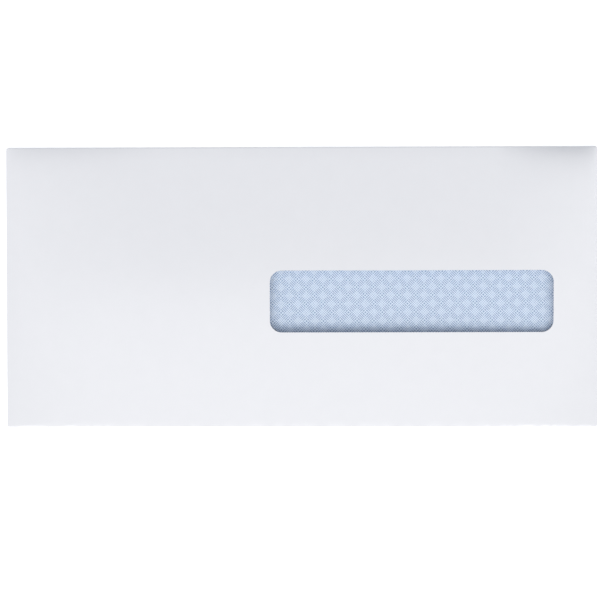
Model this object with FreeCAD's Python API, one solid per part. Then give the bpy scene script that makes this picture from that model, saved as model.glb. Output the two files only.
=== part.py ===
import FreeCAD, Part
import math
import os

from FreeCAD import Vector

# A paper envelope with a window, lying face up. X runs along its length to the right, Y up the face to the top
# fold, Z up from the surface that it lies on. The origin is under the middle of its outline. Lengths are in mm.

# Outline of the closed envelope
envelope_length = 241.3
envelope_width = 114.3

# Sheet
paper_thickness = 0.12
fold_clearance = 0.06
flap_clearance = 0.08

# Window hole in the face, placed from the right edge and the bottom fold
window_length = 115.3
window_height = 25.2
window_corner_radius = 4.76
window_right_margin = 18.2
window_bottom_margin = 38.75

# Clear patch glued under the face, a glue line below it
film_thickness = 0.04
glue_line = 0.05
film_overlap = 9.5
film_corner_radius = 1.5

# Side flaps, folded in from the face and glued to the inside of the back panel
side_flap_width = 15.9
side_flap_taper = 6.0
corner_notch = 1.0

# Back panel, folded up from the bottom, with a throat between two shoulders
back_inset = 0.8
throat_depth = 19.0
shoulder_width = 14.0
shoulder_slant = 16.0
shoulder_drop = 2.5
throat_radius = 8.0
back_corner_radius = 3.0

# Closing flap, folded under the back panel and left unsealed
flap_depth = 44.45
flap_inset = 0.8
flap_slant = 12.0
flap_corner_radius = 9.5

# Tint printed on the inside of the back panel
tint_thickness = 0.02
tint_margin = 0.3

# Swell of the face over the empty pocket: a soft ridge that falls to all four folds
face_rise = 2.4
ridge_rounding = 0.3
side_fall_power = 5
top_roll_share = 0.12
top_roll_length = 8.0
corner_roll_share = 0.3
corner_roll_length = 38.0

# Points through which the face is drawn
face_columns = 29
face_rows = 21

# Places worked out from the sizes above
half_length = envelope_length / 2
half_width = envelope_width / 2
side_fold_radius = paper_thickness + fold_clearance / 2
bottom_fold_radius = (3 * paper_thickness + fold_clearance) / 2
bottom_line = bottom_fold_radius - half_width
flap_edge = half_width - flap_depth
body_slope = (paper_thickness + flap_clearance) / (flap_edge - bottom_line)
top_fold_radius = (
    bottom_fold_radius + body_slope * (half_width - bottom_line) / 2
) / (1 + body_slope / 2)
top_line = half_width - top_fold_radius
face_half_length = half_length - side_fold_radius
face_middle = (top_line + bottom_line) / 2
face_half_width = (top_line - bottom_line) / 2
back_half_length = half_length - back_inset
window_right = half_length - window_right_margin
window_bottom = window_bottom_margin - half_width
cutter_height = 20.0


def lift(y):
    """Height of the back panel's underside, which leans on the folded flap."""
    return body_slope * (y - bottom_line)


def face_height(x, y):
    """Height of the face's underside."""
    u = x / face_half_length
    v = (y - face_middle) / face_half_width
    ridge = math.hypot(v, ridge_rounding) - ridge_rounding
    ridge /= math.hypot(1, ridge_rounding) - ridge_rounding
    roll = max(0, 1 - (top_line - y) / top_roll_length) ** 2
    corner = max(0, 1 - (face_half_length - x) / corner_roll_length)
    share = top_roll_share + corner_roll_share * corner**2 * (3 - 2 * corner)
    swell = (1 - abs(u) ** side_fall_power) * (1 - (1 - share) * ridge - share * roll)
    return lift(y) + 2 * paper_thickness + fold_clearance + face_rise * swell


def outline(corners):
    """A closed wire through (x, y, radius) corners, rounded where the radius isn't zero."""
    edges = []
    ends = []
    for i, (x, y, radius) in enumerate(corners):
        here = Vector(x, y, 0)
        before = Vector(*corners[i - 1][:2], 0)
        after = Vector(*corners[(i + 1) % len(corners)][:2], 0)
        back = (before - here).normalize()
        on = (after - here).normalize()
        half_turn = back.getAngle(on) / 2
        reach = radius / math.tan(half_turn)
        start = here + back * reach
        end = here + on * reach
        if radius:
            middle = here + (back + on).normalize() * (radius / math.sin(half_turn) - radius)
            edges.append(Part.Arc(start, middle, end).toShape())
        ends.append((start, end))
    for i, (start, end) in enumerate(ends):
        edges.append(Part.makeLine(ends[i - 1][1], start))
    return Part.Wire(Part.__sortEdges__(edges))


def prism(corners):
    """A tall vertical block with a rounded outline, used to cut sheets to shape."""
    wire = outline(corners)
    wire.translate(Vector(0, 0, -cutter_height / 2))
    return Part.Face(wire).extrude(Vector(0, 0, cutter_height))


def rectangle(left, right, low, high, radius=0):
    return [(left, low, radius), (right, low, radius), (right, high, radius), (left, high, radius)]


def mirrored(right_side):
    """Corners of a symmetrical outline, from those of its right half, listed upwards."""
    return right_side + [(-x, y, radius) for x, y, radius in reversed(right_side)]


def leaning_sheet(corners, height, thickness):
    """A flat sheet that leans with the back panel, this high above its underside."""
    section = [
        Vector(-half_length, bottom_line, height),
        Vector(-half_length, top_line, lift(top_line) + height),
        Vector(-half_length, top_line, lift(top_line) + height + thickness),
        Vector(-half_length, bottom_line, height + thickness),
    ]
    face = Part.Face(Part.makePolygon(section + section[:1]))
    return face.extrude(Vector(envelope_length, 0, 0)).common(prism(corners))


def half_ring(centre, radius, axis, out):
    """Section of a fold: half a ring of paper round the centre, bulging along out."""
    up = Vector(0, 0, 1)
    inner = radius - paper_thickness
    arc = Part.Arc(centre - up * radius, centre + out * radius, centre + up * radius)
    inner_arc = Part.Arc(centre + up * inner, centre + out * inner, centre - up * inner)
    edges = [
        arc.toShape(),
        Part.makeLine(centre + up * radius, centre + up * inner),
        inner_arc.toShape(),
        Part.makeLine(centre - up * inner, centre - up * radius),
    ]
    return Part.Face(Part.Wire(edges)).extrude(axis)


def face_surface():
    """The underside of the face, from fold to fold."""
    points = []
    for i in range(face_columns):
        x = face_half_length * (2 * i / (face_columns - 1) - 1)
        column = []
        for j in range(face_rows):
            y = face_middle + face_half_width * (2 * j / (face_rows - 1) - 1)
            column.append(Vector(x, y, face_height(x, y)))
        points.append(column)
    surface = Part.BSplineSurface()
    surface.interpolate(points)
    return surface.toShape()


def face_panel():
    sheet = face_surface().extrude(Vector(0, 0, paper_thickness))
    right, low = window_right, window_bottom
    hole = rectangle(right - window_length, right, low, low + window_height, window_corner_radius)
    return sheet.cut(prism(hole))


def back_panel():
    shoulder = back_half_length - shoulder_width
    throat = half_width - throat_depth
    corners = mirrored([
        (back_half_length, bottom_line, 0),
        (back_half_length, top_line - shoulder_drop, back_corner_radius),
        (shoulder, top_line - shoulder_drop, back_corner_radius),
        (shoulder - shoulder_slant, throat, throat_radius),
    ])
    return leaning_sheet(corners, 0, paper_thickness)


def side_flap(side):
    """One side flap with its fold, on the right for side 1 and on the left for side -1."""
    start = bottom_line + corner_notch
    end = top_line - corner_notch
    inner = half_length - side_flap_width
    corners = [
        (side * face_half_length, start, 0),
        (side * face_half_length, end, 0),
        (side * inner, end - side_flap_taper, 0),
        (side * inner, start + side_flap_taper, 0),
    ]
    flap = leaning_sheet(corners, paper_thickness, paper_thickness)
    centre = Vector(side * face_half_length, start, lift(start) + paper_thickness + side_fold_radius)
    along = Vector(0, end - start, lift(end) - lift(start))
    return [flap, half_ring(centre, side_fold_radius, along, Vector(side, 0, 0))]


def bottom_fold():
    centre = Vector(-back_half_length, bottom_line, bottom_fold_radius)
    along = Vector(2 * back_half_length, 0, 0)
    return half_ring(centre, bottom_fold_radius, along, Vector(0, -1, 0))


def closing_flap():
    """The closing flap flat on the surface, with the fold that joins it to the face."""
    half = half_length - flap_inset
    centre = Vector(-half, top_line, top_fold_radius)
    fold = half_ring(centre, top_fold_radius, Vector(2 * half, 0, 0), Vector(0, 1, 0))
    corners = mirrored([
        (half - flap_slant, flap_edge, flap_corner_radius),
        (half, top_line, 0),
    ])
    wire = outline(corners)
    return [fold, Part.Face(wire).extrude(Vector(0, 0, paper_thickness))]


def envelope_paper():
    """The folded blank. Its glued seams are fused, because the glue has no thickness."""
    pieces = [back_panel(), bottom_fold()]
    pieces += side_flap(1)
    pieces += side_flap(-1)
    pieces += closing_flap()
    return face_panel().fuse(pieces).removeSplitter()


def window_film():
    """The patch takes the shape of the face that it is glued to."""
    right = window_right + film_overlap
    left = window_right - window_length - film_overlap
    low = window_bottom - film_overlap
    high = window_bottom + window_height + film_overlap
    patch = prism(rectangle(left, right, low, high, film_corner_radius))
    sheet = face_surface().extrude(Vector(0, 0, -film_thickness))
    sheet.translate(Vector(0, 0, -glue_line))
    return sheet.common(patch)


def security_tint():
    """The printed field on the inside of the back panel, between the side flaps."""
    side = half_length - side_flap_width - tint_margin
    throat = half_width - throat_depth - tint_margin
    corners = rectangle(-side, side, bottom_line + tint_margin, throat)
    return leaning_sheet(corners, paper_thickness, tint_thickness)


os.makedirs("parts", exist_ok=True)
for piece in (envelope_paper, window_film, security_tint):
    shape = piece()
    shape.exportStep("parts/" + piece.__name__ + ".step")
    box = shape.BoundBox
    print(piece.__name__, shape.isValid(), len(shape.Solids), round(shape.Volume, 3), box)
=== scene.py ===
import math
import bpy
import bmesh
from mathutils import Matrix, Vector


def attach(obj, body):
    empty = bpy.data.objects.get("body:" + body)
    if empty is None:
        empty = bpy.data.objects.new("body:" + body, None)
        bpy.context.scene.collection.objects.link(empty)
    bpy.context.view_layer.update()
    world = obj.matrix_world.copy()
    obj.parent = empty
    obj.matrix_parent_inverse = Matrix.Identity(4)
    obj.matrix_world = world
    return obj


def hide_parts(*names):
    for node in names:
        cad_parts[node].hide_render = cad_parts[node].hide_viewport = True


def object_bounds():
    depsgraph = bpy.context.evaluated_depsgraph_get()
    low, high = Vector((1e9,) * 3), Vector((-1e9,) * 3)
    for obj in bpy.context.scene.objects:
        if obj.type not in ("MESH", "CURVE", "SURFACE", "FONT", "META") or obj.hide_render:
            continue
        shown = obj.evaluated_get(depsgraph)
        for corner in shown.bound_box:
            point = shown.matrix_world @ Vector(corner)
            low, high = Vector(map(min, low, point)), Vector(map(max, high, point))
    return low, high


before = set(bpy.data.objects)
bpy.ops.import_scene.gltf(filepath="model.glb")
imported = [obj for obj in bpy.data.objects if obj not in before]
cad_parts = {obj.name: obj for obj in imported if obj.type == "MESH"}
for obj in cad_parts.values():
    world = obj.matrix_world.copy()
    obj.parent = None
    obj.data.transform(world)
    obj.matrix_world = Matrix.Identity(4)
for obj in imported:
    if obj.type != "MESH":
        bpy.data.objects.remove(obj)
cadLow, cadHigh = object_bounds()

mm = 0.001


def addNode(tree, kind, inputs=None, **settings):
    # Each input is a socket to link or a value to set, by its name or number
    node = tree.nodes.new(kind)
    for name, value in settings.items():
        setattr(node, name, value)
    for name, value in (inputs or {}).items():
        if isinstance(value, bpy.types.NodeSocket):
            tree.links.new(value, node.inputs[name])
        else:
            node.inputs[name].default_value = value
    return node


def calc(tree, operation, *values):
    node = addNode(tree, "ShaderNodeMath", dict(enumerate(values)), operation=operation)
    return node.outputs[0]


def mixValues(tree, share, low, high):
    # From low where the share is 0 to high where it is 1
    node = addNode(tree, "ShaderNodeMix", {0: share, 2: low, 3: high}, data_type="FLOAT")
    return node.outputs[0]


def mixColours(tree, share, low, high):
    node = addNode(tree, "ShaderNodeMix", {0: share, 6: low, 7: high}, data_type="RGBA")
    return node.outputs[2]


# Node groups with named inputs and outputs

def newGroup(name, inputs, outputs, kind="ShaderNodeTree"):
    tree = bpy.data.node_groups.new(name, kind)
    for title, (socketKind, value) in inputs.items():
        socket = tree.interface.new_socket(title, in_out="INPUT", socket_type="NodeSocket" + socketKind)
        if value is not None:
            socket.default_value = value
    for title, socketKind in outputs.items():
        tree.interface.new_socket(title, in_out="OUTPUT", socket_type="NodeSocket" + socketKind)
    return tree, tree.nodes.new("NodeGroupInput").outputs, tree.nodes.new("NodeGroupOutput")


def paperFibres():
    # Felted fibres: broad clouds of pulp and short hairs over them
    tree, given, out = newGroup(
        "paperFibres",
        {
            "Vector": ("Vector", None),
            "Cloud Size": ("Float", 6 * mm),
            "Cloud Share": ("Float", 0.6),
            "Fibre Size": ("Float", 0.5 * mm),
        },
        {"Tone": "Float", "Height": "Float"},
    )
    cloud = addNode(tree, "ShaderNodeTexNoise", {
        "Vector": given["Vector"], "Scale": calc(tree, "DIVIDE", 1.0, given["Cloud Size"]),
        "Detail": 3, "Roughness": 0.6,
    })
    fibre = addNode(tree, "ShaderNodeTexNoise", {
        "Vector": given["Vector"], "Scale": calc(tree, "DIVIDE", 1.0, given["Fibre Size"]),
        "Detail": 2, "Roughness": 0.65, "Distortion": 1.2,
    })
    tone = mixValues(tree, given["Cloud Share"], fibre.outputs["Fac"], cloud.outputs["Fac"])
    tree.links.new(tone, out.inputs["Tone"])
    tree.links.new(fibre.outputs["Fac"], out.inputs["Height"])
    return tree


def crosshatch():
    # Squares on the diagonal, in turn barred one way, barred the other way, dotted and nested.
    # Widths and places are shares of the pitch.
    tree, given, out = newGroup(
        "crosshatch",
        {
            "Vector": ("Vector", None),
            "Pitch Across": ("Float", 4.892 * mm),
            "Pitch Along": ("Float", 4.842 * mm),
            "Turn": ("Float", math.radians(45)),
            "Split": ("Float", 0.285),
            "Border": ("Float", 0.06),
            "Bar Spacing": ("Float", 0.146),
            "Bar Width": ("Float", 0.069),
            "Dot Width": ("Float", 0.072),
            "Ring Place": ("Float", 0.195),
            "Ring Width": ("Float", 0.1),
            "Ring Gap Place": ("Float", 0.115),
            "Ring Gap Width": ("Float", 0.055),
            "Spot Width": ("Float", 0.135),
        },
        {"Ink": "Float"},
    )
    turned = addNode(tree, "ShaderNodeVectorRotate", {
        "Vector": given["Vector"], "Angle": given["Turn"],
    }, rotation_type="Z_AXIS")
    axes = addNode(tree, "ShaderNodeSeparateXYZ", {0: turned.outputs[0]})
    halfStep = calc(tree, "MULTIPLY", given["Bar Spacing"], 0.5)
    reach = calc(tree, "SUBTRACT", given["Split"], calc(tree, "MULTIPLY", given["Border"], 0.5))

    def within(distance, width):
        return calc(tree, "LESS_THAN", distance, calc(tree, "MULTIPLY", width, 0.5))

    def along(axis, pitch):
        # 0 in the middle of a nested square, 0.5 in the middle of the barred one beside it
        place = calc(tree, "PINGPONG", calc(tree, "DIVIDE", axes.outputs[axis], pitch), 0.5)
        barred = calc(tree, "GREATER_THAN", place, given["Split"])
        below = calc(tree, "MULTIPLY", halfStep, -1.0)
        step = calc(tree, "WRAP", calc(tree, "SUBTRACT", place, 0.5), halfStep, below)
        step = calc(tree, "ABSOLUTE", step)
        bar = within(step, given["Bar Width"])
        dot = within(step, given["Dot Width"])
        return place, barred, bar, dot, calc(tree, "LESS_THAN", place, reach)

    placeU, barredU, barU, dotU, insideU = along(0, given["Pitch Across"])
    placeV, barredV, barV, dotV, insideV = along(1, given["Pitch Along"])
    far = calc(tree, "MAXIMUM", placeU, placeV)
    near = calc(tree, "MINIMUM", placeU, placeV)
    fromRing = calc(tree, "ABSOLUTE", calc(tree, "SUBTRACT", far, given["Ring Place"]))
    fromGap = calc(tree, "ABSOLUTE", calc(tree, "SUBTRACT", near, given["Ring Gap Place"]))
    ring = within(fromRing, given["Ring Width"])
    gap = within(fromGap, given["Ring Gap Width"])
    ring = calc(tree, "MULTIPLY", ring, calc(tree, "SUBTRACT", 1.0, gap))
    nested = calc(tree, "MAXIMUM", ring, within(far, given["Spot Width"]))

    barsAcross = calc(tree, "MULTIPLY", barU, insideV)
    barsAlong = calc(tree, "MULTIPLY", barV, insideU)
    dots = calc(tree, "MULTIPLY", dotU, dotV)
    lower = mixValues(tree, barredU, nested, barsAcross)
    upper = mixValues(tree, barredU, barsAlong, dots)
    tree.links.new(mixValues(tree, barredV, lower, upper), out.inputs["Ink"])
    return tree


groups = {"fibres": paperFibres(), "hatch": crosshatch()}
print("shader groups built")

# Finishes

paper = {
    "dark": (0.775, 0.788, 0.831, 1),
    "light": (0.814, 0.827, 0.870, 1),
    "roughness": 0.8,
    "specular": 0.15,
    "bump": 0.12,
    "bumpDepth": 0.02 * mm,
}
ink = {
    "paper": (0.781, 0.867, 0.998, 1),
    "ink": (0.315, 0.43, 0.63, 1),
    "turn": math.radians(44.42),
    "shift": (-1.856 * mm, 0.09 * mm, 0),
}
clear = {"tint": (0.99, 0.995, 1, 1), "roughness": 0.12, "ior": 1.45}


def newMaterial(name):
    material = bpy.data.materials.new(name)
    material.use_nodes = True
    tree = material.node_tree
    tree.nodes.clear()
    return material, tree


def finishPaper(tree, colour, fibres):
    bump = addNode(tree, "ShaderNodeBump", {
        "Strength": paper["bump"], "Distance": paper["bumpDepth"], "Height": fibres.outputs["Height"],
    })
    surface = addNode(tree, "ShaderNodeBsdfPrincipled", {
        "Base Color": colour, "Roughness": paper["roughness"],
        "Specular IOR Level": paper["specular"], "Normal": bump.outputs[0],
    })
    out = tree.nodes.new("ShaderNodeOutputMaterial")
    tree.links.new(surface.outputs[0], out.inputs["Surface"])


def objectPlace(tree):
    return tree.nodes.new("ShaderNodeTexCoord").outputs["Object"]


def useGroup(tree, name, inputs):
    return addNode(tree, "ShaderNodeGroup", inputs, node_tree=groups[name])


def whitePaper(name):
    material, tree = newMaterial(name)
    fibres = useGroup(tree, "fibres", {"Vector": objectPlace(tree)})
    colour = mixColours(tree, fibres.outputs["Tone"], paper["dark"], paper["light"])
    finishPaper(tree, colour, fibres)
    return material


def printedPaper(name):
    material, tree = newMaterial(name)
    place = objectPlace(tree)
    fibres = useGroup(tree, "fibres", {"Vector": place})
    moved = addNode(tree, "ShaderNodeMapping", {"Vector": place, "Location": ink["shift"]})
    hatch = useGroup(tree, "hatch", {"Vector": moved.outputs[0], "Turn": ink["turn"]})
    colour = mixColours(tree, hatch.outputs["Ink"], ink["paper"], ink["ink"])
    finishPaper(tree, colour, fibres)
    return material


def clearFilm(name):
    material, tree = newMaterial(name)
    through = addNode(tree, "ShaderNodeBsdfTransparent", {"Color": clear["tint"]})
    gloss = addNode(tree, "ShaderNodeBsdfAnisotropic", {
        "Color": (1, 1, 1, 1), "Roughness": clear["roughness"],
    })
    # The film doesn't bend light, so its underside mirrors as little as its top
    behind = tree.nodes.new("ShaderNodeNewGeometry").outputs["Backfacing"]
    bend = mixValues(tree, behind, clear["ior"], 1 / clear["ior"])
    edge = addNode(tree, "ShaderNodeFresnel", {"IOR": bend})
    mix = addNode(tree, "ShaderNodeMixShader", {
        0: edge.outputs[0], 1: through.outputs[0], 2: gloss.outputs[0],
    })
    out = tree.nodes.new("ShaderNodeOutputMaterial")
    tree.links.new(mix.outputs[0], out.inputs["Surface"])
    return material


finishes = {
    "white": whitePaper("whitePaper"),
    "printed": printedPaper("printedPaper"),
    "film": clearFilm("clearFilm"),
}
print("finishes built")


# The folded sheet fills the CAD box. It is made as its outer skin and given its thickness at the end.

halfLength = cadHigh.x
halfWidth = cadHigh.y

# The paper, the room left inside its folds, and how fine its mesh is
sheet = {
    "thickness": 0.12 * mm,
    "foldGap": 0.06 * mm,
    "flapGap": 0.08 * mm,
    "topCrease": 0.16 * mm,  # how far the pressed top fold bulges
    "cell": 1.6 * mm,
    "cellSlack": 0.001,  # share of a cell that is too little for another one
    "foldSteps": 12,
    "filletSteps": 6,
    "weld": 1e-3 * mm,
    "sliver": 1e-4 * mm,
    "sharpAngle": 35,
}

# Window hole, placed from the right edge and the bottom fold
window = {
    "length": 115.3 * mm,
    "height": 25.2 * mm,
    "radius": 4.76 * mm,
    "rightMargin": 18.2 * mm,
    "bottomMargin": 38.75 * mm,
    "cornerSteps": 5,
}

# Closing flap, back panel and side flaps
flap = {
    "depth": 44.45 * mm,
    "inset": 0.8 * mm,
    "slant": 12 * mm,
    "radius": 9.5 * mm,
    "rows": 28,
}
back = {
    "inset": 0.8 * mm,
    "throat": 19 * mm,
    "shoulderWidth": 14 * mm,
    "shoulderSlant": 16 * mm,
    "shoulderDrop": 2.5 * mm,
    "throatRadius": 8 * mm,
    "cornerRadius": 3 * mm,
    "rows": 48,
}
sideFlap = {"width": 15.9 * mm, "taper": 6 * mm, "notch": 1 * mm, "rows": 8}

# Places that follow from the sizes above
thickness = sheet["thickness"]
sideRadius = thickness + sheet["foldGap"] / 2
bottomRadius = (3 * thickness + sheet["foldGap"]) / 2
bottomLine = bottomRadius - halfWidth
flapEdge = halfWidth - flap["depth"]
lean = (thickness + sheet["flapGap"]) / (flapEdge - bottomLine)
topLine = halfWidth - sheet["topCrease"]
sideLine = halfLength - sideRadius
backHalf = halfLength - back["inset"]
windowRight = halfLength - window["rightMargin"]
windowLeft = windowRight - window["length"]
windowLow = window["bottomMargin"] - halfWidth
windowHigh = windowLow + window["height"]

# How the face swells over the empty pocket
swell = {
    "Rise": 2.38 * mm,
    "Ridge Rounding": 0.3,
    "Side Fall Power": 5.0,
    "Top Roll Share": 0.04,
    "Top Roll Length": 5 * mm,
    "Right Corner Lift": 2.05 * mm,
    "Right Corner Length": 41 * mm,
    "Left Corner Lift": 0.75 * mm,
    "Left Corner Length": 62 * mm,
    "Corner Rise Length": 4.8 * mm,
    "Corner Fade Length": 105 * mm,
    "Corner Side Power": 55.0,
    "Side Line": sideLine,
    "Top Line": topLine,
    "Bottom Line": bottomLine,
}


def lift(y):
    # Height of the back panel's underside, which leans on the closing flap
    return lean * (y - bottomLine)


def lines(stops, cell):
    # Places along one axis: every stop, and evenly between them
    found = [stops[0]]
    for low, high in zip(stops, stops[1:]):
        steps = max(1, math.ceil((high - low) / cell - sheet["cellSlack"]))
        found += [low + (high - low) * i / steps for i in range(1, steps + 1)]
    return found


def addPatch(mesh, rows):
    grid = [[mesh.verts.new(point) for point in row] for row in rows]
    for low, high in zip(grid, grid[1:]):
        for a, b, c, d in zip(low, low[1:], high[1:], high):
            mesh.faces.new((a, b, c, d))


def filleted(corners):
    # Points along a line through (x, y, radius) corners, rounded at the inner ones
    steps = sheet["filletSteps"]
    points = [corners[0][:2]]
    for before, here, after in zip(corners, corners[1:], corners[2:]):
        spot = Vector(here[:2])
        one = (Vector(before[:2]) - spot).normalized()
        two = (Vector(after[:2]) - spot).normalized()
        half = one.angle(two) / 2
        centre = spot + (one + two).normalized() * here[2] / math.sin(half)
        start = spot + one * here[2] / math.tan(half) - centre
        end = spot + two * here[2] / math.tan(half) - centre
        for i in range(steps + 1):
            points.append(tuple(centre + start.slerp(end, i / steps) * here[2]))
    return points + [corners[-1][:2]]


def spread(points, shares):
    # Points at these shares of the length of a line, counted from its start
    walked = [0]
    for a, b in zip(points, points[1:]):
        walked.append(walked[-1] + math.dist(a, b))
    found = []
    leg = 0
    for share in shares:
        goal = share * walked[-1]
        while leg < len(points) - 2 and walked[leg + 1] < goal:
            leg += 1
        part = (goal - walked[leg]) / (walked[leg + 1] - walked[leg])
        found.append(Vector(points[leg]).lerp(Vector(points[leg + 1]), part))
    return found


def addPanel(mesh, near, far, steps, height):
    # A flat panel from its fold line to its free edge, on a plane given by its height
    rows = []
    for k in range(steps + 1):
        row = [a.lerp(b, k / steps) for a, b in zip(near, far)]
        rows.append([(x, y, height(y)) for x, y in row])
    addPatch(mesh, rows)


def freeEdge(columns, corners):
    # The right half of an edge, rounded, mirrored and shared out between the columns
    half = filleted(corners)[:-1]
    whole = [(-x, y) for x, y in reversed(half)][:-1] + half
    return spread(whole, [(x - columns[0]) / (columns[-1] - columns[0]) for x in columns])


def faceBase(x, y):
    # Top of the face before it swells: back panel, side flap, the gap and the face itself
    return Vector((x, y, lift(y) + 3 * thickness + sheet["foldGap"]))


def windowCorner(mesh, cx, cy, sx, sy):
    # Fills a corner of the hole between its square outline and the arc round (cx, cy)
    steps, radius = window["cornerSteps"], window["radius"]
    outer = []
    arc = []
    for k in range(2 * steps + 1):
        turn = math.pi / 2 * k / (2 * steps)
        arc.append(faceBase(cx + sx * radius * math.sin(turn), cy + sy * radius * math.cos(turn)))
        across = min(k, steps) / steps
        up = min(2 * steps - k, steps) / steps
        outer.append(faceBase(cx + sx * radius * across, cy + sy * radius * up))
    addPatch(mesh, [outer, arc])


def windowLines(low, high):
    # Fine where the corners are round, and the sheet's own cells between them
    radius = window["radius"]
    fine = radius / window["cornerSteps"]
    return (
        lines([low, low + radius], fine)[:-1]
        + lines([low + radius, high - radius], sheet["cell"])
        + lines([high - radius, high], fine)[1:]
    )


def makeFace(mesh):
    # Three bands each way round the window, with half cells where the face rolls into the top fold
    cell = sheet["cell"]
    middleX = windowLines(windowLeft, windowRight)
    middleY = windowLines(windowLow, windowHigh)
    bandsX = [
        lines([-sideLine, -backHalf, windowLeft], cell),
        middleX,
        lines([windowRight, backHalf, sideLine], cell),
    ]
    notch = sideFlap["notch"]
    rollLine = topLine - swell["Top Roll Length"]
    bandsY = [
        lines([bottomLine, bottomLine + notch, windowLow], cell),
        middleY,
        lines([windowHigh, rollLine], cell)[:-1]
        + lines([rollLine, topLine - notch, topLine], cell / 2),
    ]
    for i, columns in enumerate(bandsX):
        for j, rows in enumerate(bandsY):
            if (i, j) != (1, 1):  # where the window is
                addPatch(mesh, [[faceBase(x, y) for x in columns] for y in rows])
    radius = window["radius"]
    for sx, cx in ((-1, windowLeft + radius), (1, windowRight - radius)):
        for sy, cy in ((-1, windowLow + radius), (1, windowHigh - radius)):
            windowCorner(mesh, cx, cy, sx, sy)
    allX = bandsX[0] + middleX[1:] + bandsX[2][1:]
    allY = bandsY[0] + middleY[1:] + bandsY[2][1:]
    # The columns and rows from which the folds go on
    low = bottomLine + notch - sheet["sliver"]
    high = topLine - notch + sheet["sliver"]
    return allX[1:-1], [y for y in allY if low <= y <= high]


def arcSteps():
    return [math.pi * i / sheet["foldSteps"] for i in range(sheet["foldSteps"] + 1)]


def makeBottomFold(mesh, columns):
    r = bottomRadius
    addPatch(mesh, [
        [(x, bottomLine - r * math.sin(turn), r + r * math.cos(turn)) for x in columns]
        for turn in arcSteps()
    ])


def makeTopFold(mesh, columns):
    # Pressed flat, so it bulges less than it is high
    high = (lift(topLine) + 3 * thickness + sheet["foldGap"]) / 2
    out = sheet["topCrease"]
    addPatch(mesh, [
        [(x, topLine + out * math.sin(turn), high + high * math.cos(turn)) for x in columns]
        for turn in arcSteps()
    ])


def makeBack(mesh, columns):
    shoulder = backHalf - back["shoulderWidth"]
    top = topLine - back["shoulderDrop"]
    throat = halfWidth - back["throat"]
    edge = freeEdge(columns, [
        (0, throat, 0),
        (shoulder - back["shoulderSlant"], throat, back["throatRadius"]),
        (shoulder, top, back["cornerRadius"]),
        (backHalf, top, back["cornerRadius"]),
        (backHalf, bottomLine, 0),
    ])
    addPanel(mesh, [Vector((x, bottomLine)) for x in columns], edge, back["rows"], lift)


def makeSide(mesh, side, rows):
    r = sideRadius
    folds = [(sideLine + r * math.sin(turn), thickness + r + r * math.cos(turn)) for turn in arcSteps()]
    addPatch(mesh, [[(side * x, y, lift(y) + z) for y in rows] for x, z in folds])
    inner = halfLength - sideFlap["width"]
    shrink = 1 - 2 * sideFlap["taper"] / (rows[-1] - rows[0])
    middle = (rows[0] + rows[-1]) / 2
    near = [Vector((side * sideLine, y)) for y in rows]
    far = [Vector((side * inner, middle + (y - middle) * shrink)) for y in rows]
    addPanel(mesh, near, far, sideFlap["rows"], lambda y: lift(y) + thickness)


def makeFlap(mesh, columns):
    half = halfLength - flap["inset"]
    edge = freeEdge(columns, [
        (0, flapEdge, 0),
        (half - flap["slant"], flapEdge, flap["radius"]),
        (half, topLine, 0),
    ])
    addPanel(mesh, [Vector((x, topLine)) for x in columns], edge, flap["rows"], lambda y: 0)


def finishMesh(mesh, name):
    # Welds the panels, points every face outwards and turns the result into an object
    bmesh.ops.remove_doubles(mesh, verts=mesh.verts, dist=sheet["weld"])
    bmesh.ops.dissolve_degenerate(mesh, dist=sheet["sliver"], edges=mesh.edges)
    bmesh.ops.recalc_face_normals(mesh, faces=mesh.faces)
    top = max(mesh.faces, key=lambda face: face.calc_center_median().z)
    if top.normal.z < 0:
        bmesh.ops.reverse_faces(mesh, faces=mesh.faces)
    data = bpy.data.meshes.new(name)
    mesh.to_mesh(data)
    mesh.free()
    piece = bpy.data.objects.new(name, data)
    bpy.context.scene.collection.objects.link(piece)
    return piece


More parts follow.
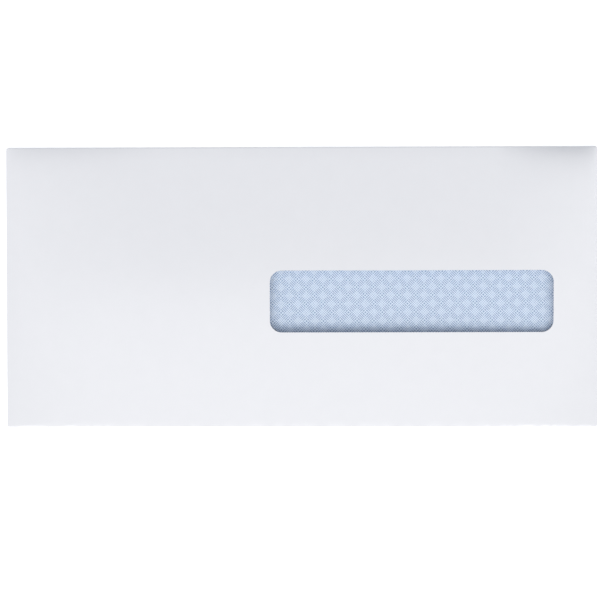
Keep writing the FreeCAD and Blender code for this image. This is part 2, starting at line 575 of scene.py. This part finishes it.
def swellTree():
    # Lifts what is marked onFace: a soft ridge that falls to all four folds, and two raised corners
    inputs = {"Geometry": ("Geometry", None)}
    inputs.update({name: ("Float", value) for name, value in swell.items()})
    inputs["Material"] = ("Material", None)
    tree, given, out = newGroup("swellFace", inputs, {"Geometry": "Geometry"}, "GeometryNodeTree")
    place = tree.nodes.new("GeometryNodeInputPosition")
    axes = addNode(tree, "ShaderNodeSeparateXYZ", {0: place.outputs[0]})
    x, y = axes.outputs[0], axes.outputs[1]

    u = calc(tree, "ABSOLUTE", calc(tree, "DIVIDE", x, given["Side Line"]))
    across = calc(tree, "SUBTRACT", 1.0, calc(tree, "POWER", u, given["Side Fall Power"]))

    rounding = given["Ridge Rounding"]
    fromLow = calc(tree, "SUBTRACT", y, given["Bottom Line"])
    fromHigh = calc(tree, "SUBTRACT", given["Top Line"], y)
    offMiddle = calc(tree, "SUBTRACT", fromLow, fromHigh)
    v = calc(tree, "DIVIDE", offMiddle, calc(tree, "ADD", fromLow, fromHigh))
    square = calc(tree, "MULTIPLY", rounding, rounding)
    slope = calc(tree, "SQRT", calc(tree, "MULTIPLY_ADD", v, v, square))
    slopeEnd = calc(tree, "SUBTRACT", calc(tree, "SQRT", calc(tree, "ADD", 1.0, square)), rounding)
    slope = calc(tree, "SUBTRACT", slope, rounding)
    ridge = calc(tree, "DIVIDE", slope, slopeEnd)

    fromTop = calc(tree, "DIVIDE", fromHigh, given["Top Roll Length"])
    roll = calc(tree, "POWER", calc(tree, "MAXIMUM", calc(tree, "SUBTRACT", 1.0, fromTop), 0.0), 2.0)
    share = given["Top Roll Share"]
    ridgeShare = calc(tree, "MULTIPLY", calc(tree, "SUBTRACT", 1.0, share), ridge)
    up = calc(tree, "SUBTRACT", 1.0, ridgeShare)
    up = calc(tree, "SUBTRACT", up, calc(tree, "MULTIPLY", share, roll))
    tent = calc(tree, "MULTIPLY", calc(tree, "MULTIPLY", across, up), given["Rise"])

    # The two top corners stand up off the back panel's shoulders
    def fade(distance, length):
        node = addNode(tree, "ShaderNodeMapRange", {
            "Value": distance, "From Max": length, "To Min": 1.0, "To Max": 0.0,
        }, interpolation_type="SMOOTHSTEP")
        return node.outputs[0]

    def cornerLift(distance, length, height):
        return calc(tree, "MULTIPLY", calc(tree, "SQRT", fade(distance, length)), height)

    fromRight = calc(tree, "SUBTRACT", given["Side Line"], x)
    fromLeft = calc(tree, "ADD", given["Side Line"], x)
    right = cornerLift(fromRight, given["Right Corner Length"], given["Right Corner Lift"])
    left = cornerLift(fromLeft, given["Left Corner Length"], given["Left Corner Lift"])
    steep = calc(tree, "DIVIDE", fromHigh, given["Corner Rise Length"])
    rise = calc(tree, "SUBTRACT", 1.0, calc(tree, "EXPONENT", calc(tree, "MULTIPLY", steep, -1.0)))
    rise = calc(tree, "MULTIPLY", rise, fade(fromHigh, given["Corner Fade Length"]))
    edge = calc(tree, "SUBTRACT", 1.0, calc(tree, "POWER", u, given["Corner Side Power"]))
    corners = calc(tree, "MULTIPLY", calc(tree, "ADD", left, right), calc(tree, "MULTIPLY", rise, edge))

    onFace = addNode(tree, "GeometryNodeInputNamedAttribute", {"Name": "onFace"}, data_type="FLOAT")
    height = calc(tree, "MULTIPLY", calc(tree, "ADD", tent, corners), onFace.outputs[0])
    offset = addNode(tree, "ShaderNodeCombineXYZ", {"Z": height})
    moved = addNode(tree, "GeometryNodeSetPosition", {
        "Geometry": given["Geometry"], "Offset": offset.outputs[0],
    })
    real = addNode(tree, "GeometryNodeRealizeInstances", {"Geometry": moved.outputs[0]})
    dressed = addNode(tree, "GeometryNodeSetMaterial", {
        "Geometry": real.outputs[0], "Material": given["Material"],
    })
    tree.links.new(dressed.outputs[0], out.inputs[0])
    return tree


def applyModifiers(piece):
    graph = bpy.context.evaluated_depsgraph_get()
    data = bpy.data.meshes.new_from_object(piece.evaluated_get(graph))
    data.name = piece.name
    piece.modifiers.clear()
    piece.data = data


def swellPiece(piece, tree, material):
    modifier = piece.modifiers.new("swell", "NODES")
    modifier.node_group = tree
    given = dict(swell, Material=material)
    for item in tree.interface.items_tree:
        if item.in_out == "INPUT" and item.name in given:
            modifier[item.identifier] = given[item.name]
    applyModifiers(piece)


def thicken(piece, depth, inside=0):
    # The skin stays in place and the thickness goes inwards; inside is the inner side's material slot
    modifier = piece.modifiers.new("thickness", "SOLIDIFY")
    modifier.thickness = depth
    modifier.offset = -1
    modifier.use_even_offset = True
    modifier.material_offset = inside
    applyModifiers(piece)
    piece.data.shade_smooth()
    piece.data.set_sharp_from_angle(angle=math.radians(sheet["sharpAngle"]))


swellFace = swellTree()


def makePaper():
    mesh = bmesh.new()
    onFace = mesh.verts.layers.float.new("onFace")
    columns, rows = makeFace(mesh)
    for vert in mesh.verts:
        vert[onFace] = 1
    makeBottomFold(mesh, columns)
    makeTopFold(mesh, columns)
    makeBack(mesh, columns)
    makeFlap(mesh, columns)
    makeSide(mesh, 1, rows)
    makeSide(mesh, -1, rows)
    piece = finishMesh(mesh, "paperSheet")
    swellPiece(piece, swellFace, finishes["white"])
    piece.data.materials.append(finishes["printed"])
    thicken(piece, thickness, inside=1)
    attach(piece, "root")
    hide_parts("envelope_paper")
    print("paper", len(piece.data.polygons), "faces")


# The clear patch, glued under the face round the window
film = {
    "thickness": 0.04 * mm,
    "glue": 0.05 * mm,
    "overlap": 9.5 * mm,
    "cell": 1.6 * mm,
}


def makeFilm():
    mesh = bmesh.new()
    onFace = mesh.verts.layers.float.new("onFace")
    over = film["overlap"]
    columns = lines([windowLeft - over, windowRight + over], film["cell"])
    rows = lines([windowLow - over, windowHigh + over], film["cell"])
    drop = Vector((0, 0, thickness + film["glue"]))
    addPatch(mesh, [[faceBase(x, y) - drop for x in columns] for y in rows])
    for vert in mesh.verts:
        vert[onFace] = 1
    piece = finishMesh(mesh, "filmPatch")
    swellPiece(piece, swellFace, finishes["film"])
    thicken(piece, film["thickness"])
    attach(piece, "root")
    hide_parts("window_film")
    print("film", len(piece.data.polygons), "faces")


makePaper()
makeFilm()

# The print on the back panel's inside keeps its CAD solid
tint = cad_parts["security_tint"]
tint.material_slots[0].material = finishes["printed"]
print("tint dressed")


# Floor, lights and camera

stage = {
    "floor": (0.97, 0.97, 0.97, 1),
    "floorGlow": 0.5,
    "floorRoughness": 0.9,
    "floorSpecular": 0.1,
    "size": 8.0,
    "skyColour": (0.955, 1.0, 1.065, 1),
    "sky": 0.68,
    "skyFromFront": 0.95,
}
# Angles are in degrees, distances in metres
softLamp = {"height": 32, "distance": 4, "size": 2.1, "colour": (1.1, 1, 0.86)}
lamps = {"rightLamp": {"turn": -57, "power": 60}, "leftLamp": {"turn": -123, "power": 51}}
lens = {
    "focal": 85,
    "sensor": 36,
    "nearClip": 10 * mm,
    "place": (6.05 * mm, 1.64 * mm, 578.87 * mm),
    "turn": (-0.681, 0.657, -0.128),
}


def makeFloor():
    data = bpy.data.meshes.new("floor")
    reach = stage["size"] / 2
    corners = [(-reach, -reach, 0), (reach, -reach, 0), (reach, reach, 0), (-reach, reach, 0)]
    data.from_pydata(corners, [], [(0, 1, 2, 3)])
    floor = bpy.data.objects.new("floor", data)
    bpy.context.scene.collection.objects.link(floor)
    material, tree = newMaterial("floorPaint")
    surface = addNode(tree, "ShaderNodeBsdfPrincipled", {
        "Base Color": stage["floor"], "Roughness": stage["floorRoughness"],
        "Specular IOR Level": stage["floorSpecular"],
        "Emission Color": stage["floor"], "Emission Strength": stage["floorGlow"],
    })
    out = tree.nodes.new("ShaderNodeOutputMaterial")
    tree.links.new(surface.outputs[0], out.inputs["Surface"])
    data.materials.append(material)


def makeLamp(name, turn, power):
    # A round soft lamp, turned towards the middle of the envelope
    turn = math.radians(turn)
    height = math.radians(softLamp["height"])
    level = softLamp["distance"] * math.cos(height)
    up = softLamp["distance"] * math.sin(height)
    data = bpy.data.lights.new(name, "AREA")
    data.shape = "DISK"
    data.size = softLamp["size"]
    data.energy = power
    data.color = softLamp["colour"]
    lamp = bpy.data.objects.new(name, data)
    lamp.location = (level * math.cos(turn), level * math.sin(turn), up)
    lamp.rotation_euler = (-lamp.location).to_track_quat("-Z", "Y").to_euler()
    bpy.context.scene.collection.objects.link(lamp)


def makeCamera():
    data = bpy.data.cameras.new("camera")
    data.lens = lens["focal"]
    data.sensor_width = lens["sensor"]
    data.clip_start = lens["nearClip"]
    camera = bpy.data.objects.new("camera", data)
    camera.location = lens["place"]
    camera.rotation_euler = [math.radians(angle) for angle in lens["turn"]]
    bpy.context.scene.collection.objects.link(camera)
    bpy.context.scene.camera = camera


def makeWorld():
    # White to the camera. Reflections see an even sky, and its light comes more from the lamps' side.
    world = bpy.data.worlds.new("studio")
    world.use_nodes = True
    tree = world.node_tree
    path = addNode(tree, "ShaderNodeLightPath").outputs
    seen = path["Is Camera Ray"]
    way = addNode(tree, "ShaderNodeTexCoord").outputs["Generated"]
    axes = addNode(tree, "ShaderNodeSeparateXYZ", {0: way}).outputs
    side = calc(tree, "MULTIPLY", axes[1], calc(tree, "SUBTRACT", 1.0, path["Is Glossy Ray"]))
    light = calc(tree, "MULTIPLY_ADD", side, -stage["sky"] * stage["skyFromFront"], stage["sky"])
    shine = tree.nodes["Background"]
    tree.links.new(mixColours(tree, seen, stage["skyColour"], (1, 1, 1, 1)), shine.inputs["Color"])
    tree.links.new(mixValues(tree, seen, light, 1.0), shine.inputs["Strength"])
    bpy.context.scene.world = world


makeFloor()
for name, values in lamps.items():
    makeLamp(name, **values)
makeCamera()
makeWorld()
bpy.context.scene.view_settings.view_transform = "Standard"
print("studio ready")

# The print's lines are a pixel wide, so the denoiser takes its guides unblurred
bpy.context.scene.cycles.denoising_prefilter = "NONE"
